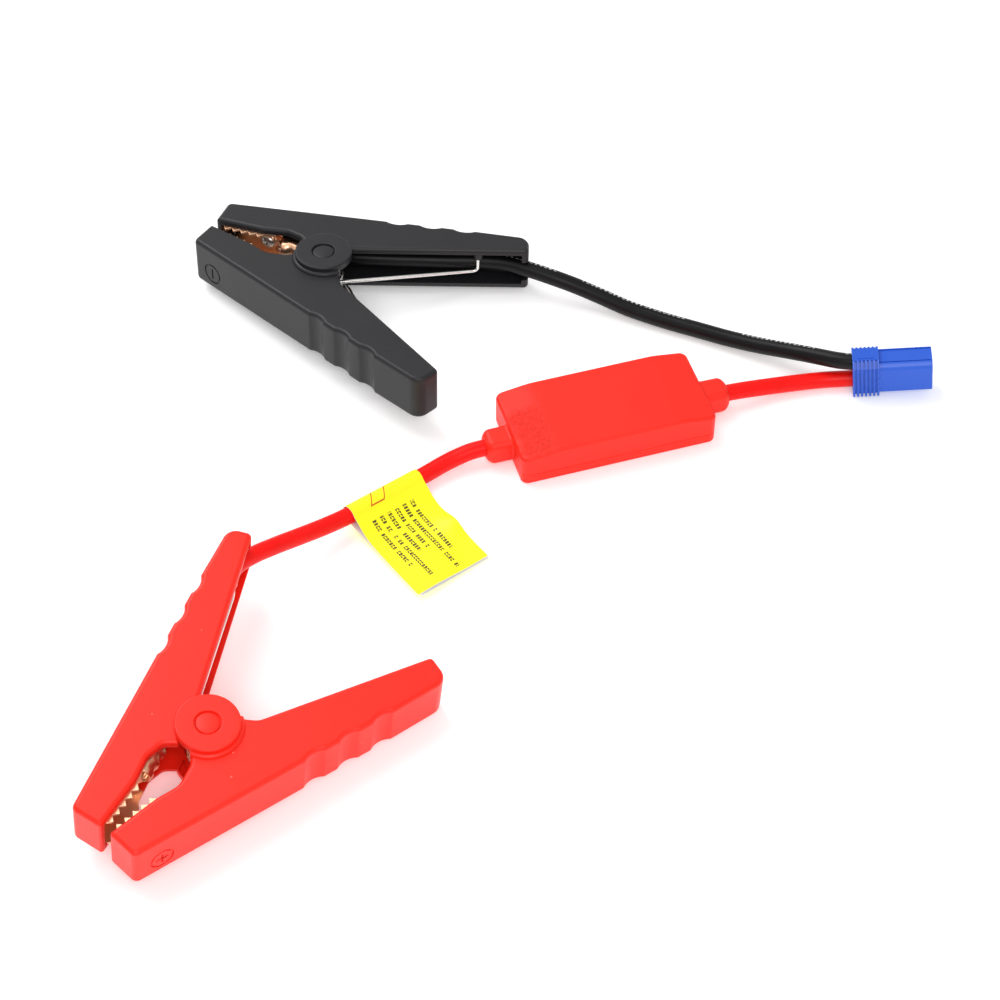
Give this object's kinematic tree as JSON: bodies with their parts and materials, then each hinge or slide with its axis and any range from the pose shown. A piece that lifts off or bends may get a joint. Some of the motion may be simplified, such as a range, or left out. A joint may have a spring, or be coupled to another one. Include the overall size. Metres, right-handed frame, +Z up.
{
  "type": "jump starter clamp lead set",
  "caption": "Jump starter lead set: two sprung battery clamps on stiff cables, an inline protection module, a folded tag and a two-pole plug.",
  "frame": {"origin": "on the ground, below the middle of the box round the two clamps and the module, which are the pieces that are not on a free cord", "axes": "+Z up from the ground; +X from the clamps towards the plug; +Y from the red clamp towards the black clamp"},
  "size_m": [0.3429, 0.3478, 0.0353],
  "materials": {
    "black_plastic": "fine matte, soft sheen on the edges",
    "red_plastic": "fine matte",
    "module_red": "satin with a fine crinkled patch",
    "steel": "bright",
    "copper": "bright copper-plated",
    "black_jacket": "satin",
    "red_jacket": "satin",
    "plug_blue": "satin",
    "gold_plate": "bright",
    "tag_yellow": "smooth card, white underneath",
    "board_green": "solder mask",
    "chip_black": "moulded",
    "can_aluminium": "satin"
  },
  "bodies": {
    "lead_set": {"black_cable_lever": "black_plastic", "black_pivot_pin": "black_plastic", "black_pivot_rod": "steel", "black_spring": "steel", "black_cable_jaw": "copper", "black_crimp_lug": "copper", "black_lug_screw": "steel", "red_cable_lever": "red_plastic", "red_pivot_pin": "red_plastic", "red_pivot_rod": "steel", "red_spring": "steel", "red_cable_jaw": "copper", "red_crimp_lug": "copper", "red_lug_screw": "steel", "module_cover": "module_red", "module_base": "module_red", "circuit_board": "board_green", "power_switches": "chip_black", "capacitors": "can_aluminium", "module_terminals": "copper", "board_screws": "steel", "clamp_side_relief": "module_red", "plug_side_relief": "module_red", "plug_housing": "plug_blue", "negative_contact": "gold_plate", "positive_contact": "gold_plate", "black_cable": "black_jacket", "red_clamp_cable": "red_jacket", "red_plug_cable": "red_jacket", "warning_tag": "tag_yellow"},
    "black_squeeze_side": {"black_squeeze_lever": "black_plastic", "black_squeeze_jaw": "copper", "black_jaw_rivet": "steel"},
    "red_squeeze_side": {"red_squeeze_lever": "red_plastic", "red_squeeze_jaw": "copper", "red_jaw_rivet": "steel"}
  },
  "joints": [
    {"name": "black_clamp_pivot", "type": "hinge", "parent": "lead_set", "child": "black_squeeze_side", "pos_m": [-0.04866, 0.13447, 0.01554], "axis": [0.0166, 0.0854, 0.9962], "range_deg": [0, 40], "stiffness_Nm_per_rad": 1.6, "springref_deg": -51.57, "deforming": ["black_spring"]},
    {"name": "red_clamp_pivot", "type": "hinge", "parent": "lead_set", "child": "red_squeeze_side", "pos_m": [-0.08046, -0.11888, 0.01759], "axis": [0.0993, -0.0763, 0.9921], "range_deg": [0, 40], "stiffness_Nm_per_rad": 1.6, "springref_deg": -51.57, "deforming": ["red_spring"]}
  ]
}
